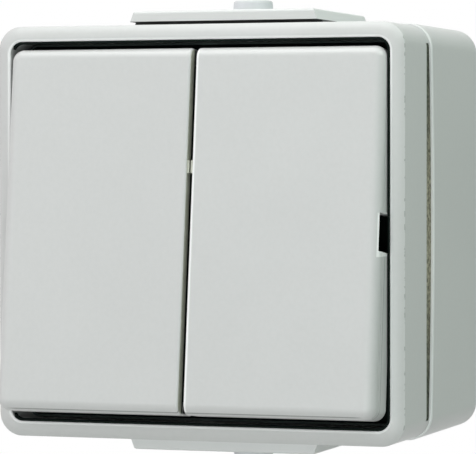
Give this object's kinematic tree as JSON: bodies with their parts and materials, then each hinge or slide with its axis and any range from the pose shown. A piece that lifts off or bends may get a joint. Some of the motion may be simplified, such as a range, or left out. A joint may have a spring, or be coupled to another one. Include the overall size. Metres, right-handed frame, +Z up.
{
  "type": "rocker light switch",
  "caption": "Surface-mounted splash-proof rocker light switch with side-by-side rockers in a crowned cover, a gasketed back box and pierceable cable entries at top and bottom.",
  "frame": {"origin": "centre of the wall face, midway between the wall-fixing slots", "axes": "+X to the right seen from the front, +Y into the wall, +Z up; the rockers face -Y"},
  "size_m": [0.0686, 0.0514, 0.076],
  "materials": {
    "case_plastic": "satin moulded light grey",
    "rocker_plastic": "satin moulded light grey",
    "entry_plastic": "soft moulded light grey",
    "gasket_foam": "grainy dark sealing ring",
    "seal_rubber": "matt black",
    "socket_plastic": "black thermoset moulding",
    "toggle_plastic": "natural white nylon",
    "plate_steel": "zinc-plated sheet",
    "pin_steel": "drawn wire",
    "screw_steel": "zinc-plated",
    "contact_brass": "stamped strip"
  },
  "bodies": {
    "housing": {"back_box": "case_plastic", "front_cover": "case_plastic", "cable_entry_top": "entry_plastic", "cable_entry_bottom": "entry_plastic", "cover_gasket": "gasket_foam", "splash_seal": "seal_rubber", "switch_base": "socket_plastic", "support_plate": "plate_steel", "axle": "pin_steel", "contact_pin": "contact_brass", "common_contact": "contact_brass", "out_contact_left": "contact_brass", "out_contact_right": "contact_brass", "terminal_screws": "screw_steel", "plate_screws": "screw_steel", "cover_screws": "screw_steel"},
    "left_rocker": {"rocker_left": "rocker_plastic", "toggle_left": "toggle_plastic", "plunger_left": "contact_brass", "plunger_spring_left": "pin_steel"},
    "left_contact": {"contact_rocker_left": "contact_brass"},
    "right_rocker": {"rocker_right": "rocker_plastic", "toggle_right": "toggle_plastic", "plunger_right": "contact_brass", "plunger_spring_right": "pin_steel"},
    "right_contact": {"contact_rocker_right": "contact_brass"}
  },
  "joints": [
    {"name": "left_rocker_tilt", "type": "hinge", "parent": "housing", "child": "left_rocker", "pos_m": [0, -0.043, 0], "axis": [1, 0, 0], "range_deg": [0, 13.2]},
    {"name": "left_contact_tilt", "type": "hinge", "parent": "housing", "child": "left_contact", "pos_m": [0, -0.0225, 0], "axis": [1, 0, 0], "range_deg": [-19.8, 0]},
    {"name": "right_rocker_tilt", "type": "hinge", "parent": "housing", "child": "right_rocker", "pos_m": [0, -0.043, 0], "axis": [1, 0, 0], "range_deg": [0, 13.2]},
    {"name": "right_contact_tilt", "type": "hinge", "parent": "housing", "child": "right_contact", "pos_m": [0, -0.0225, 0], "axis": [1, 0, 0], "range_deg": [-19.8, 0]}
  ],
  "couplings": [
    {"joint": "left_contact_tilt", "follows": "left_rocker_tilt", "ratio": -1.5},
    {"joint": "right_contact_tilt", "follows": "right_rocker_tilt", "ratio": -1.5}
  ]
}
